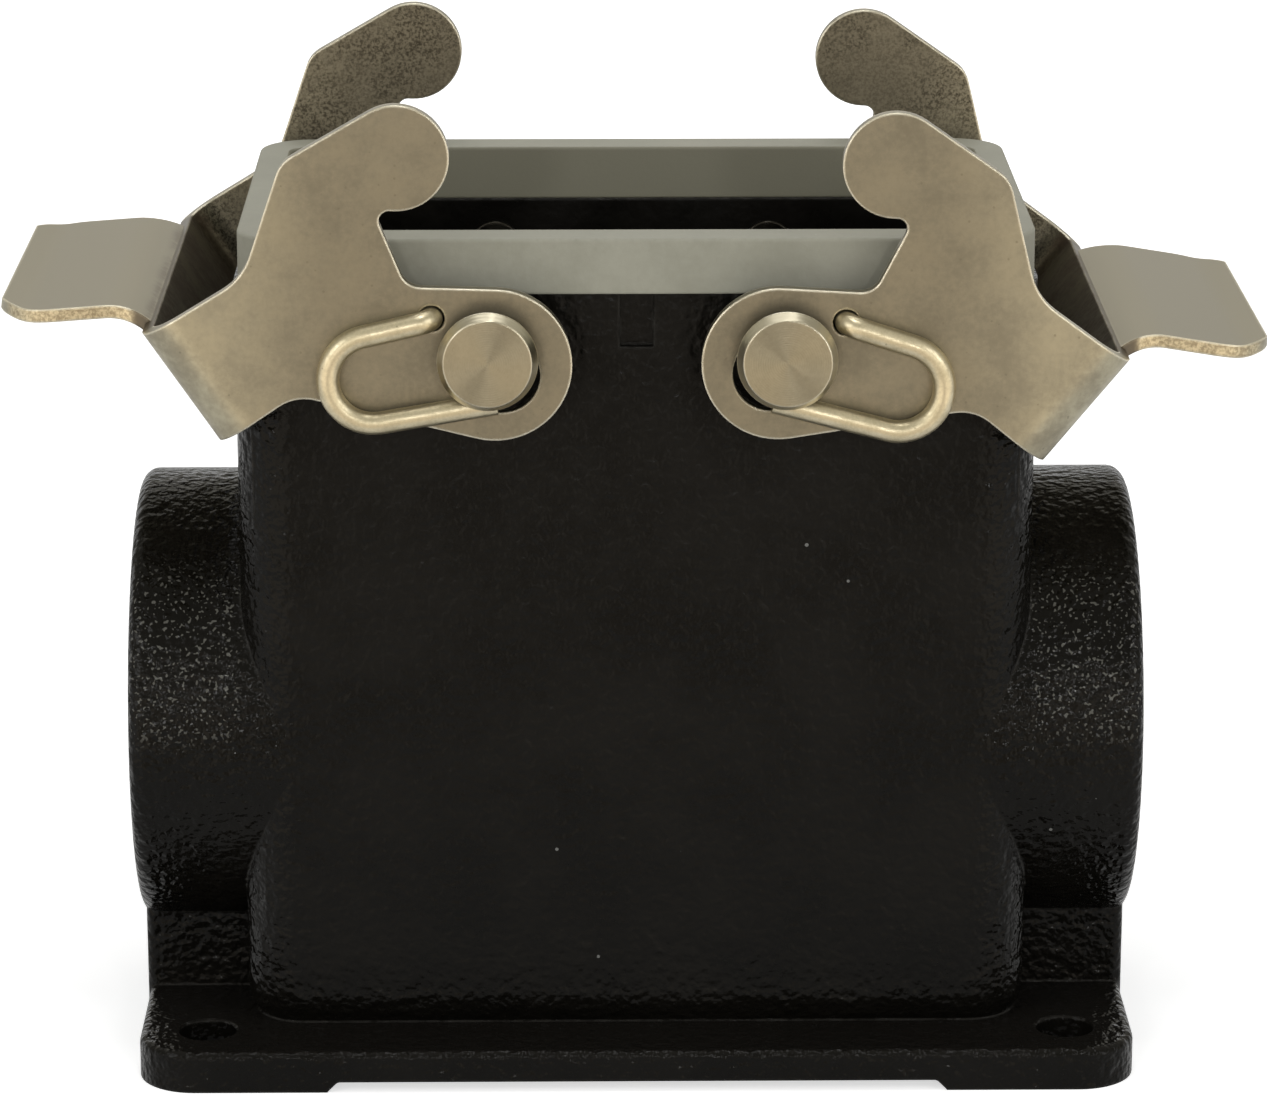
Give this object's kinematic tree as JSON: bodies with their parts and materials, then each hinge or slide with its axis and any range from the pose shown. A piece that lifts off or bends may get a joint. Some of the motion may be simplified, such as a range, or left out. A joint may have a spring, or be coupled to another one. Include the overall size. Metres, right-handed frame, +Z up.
{
  "type": "connector base housing",
  "caption": "Tall surface-mounted base housing of a rectangular connector, with a flanged foot, a round cable entry at each end, a rim seal and sprung locking levers.",
  "frame": {"origin": "centre of the fixing-hole pattern, on the plane of the mounting feet", "axes": "+X to the right cable entry, -Y to the front with the keyed wall, +Z up out of the open rim"},
  "size_m": [0.1157, 0.0604, 0.0922],
  "materials": {
    "black_paint": "gloss black paint over a fine-grained die casting",
    "grey_seal": "matt moulded",
    "lever_steel": "satin stamped sheet",
    "pin_steel": "turned",
    "spring_steel": "drawn wire"
  },
  "bodies": {
    "housing": {"housing_casting": "black_paint", "rim_seal": "grey_seal", "left_front_pin": "pin_steel", "left_rear_pin": "pin_steel", "right_front_pin": "pin_steel", "right_rear_pin": "pin_steel"},
    "left_lever_set": {"left_lever": "lever_steel", "left_front_spring": "spring_steel", "left_rear_spring": "spring_steel"},
    "right_lever_set": {"right_lever": "lever_steel", "right_front_spring": "spring_steel", "right_rear_spring": "spring_steel"}
  },
  "joints": [
    {"name": "left_lever_hinge", "type": "hinge", "parent": "housing", "child": "left_lever_set", "pos_m": [-0.0133, 0, 0.0696], "axis": [0, 1, 0], "range_deg": [-5, 34.3]},
    {"name": "right_lever_hinge", "type": "hinge", "parent": "housing", "child": "right_lever_set", "pos_m": [0.0133, 0, 0.0696], "axis": [0, -1, 0], "range_deg": [0, 39.3]}
  ]
}
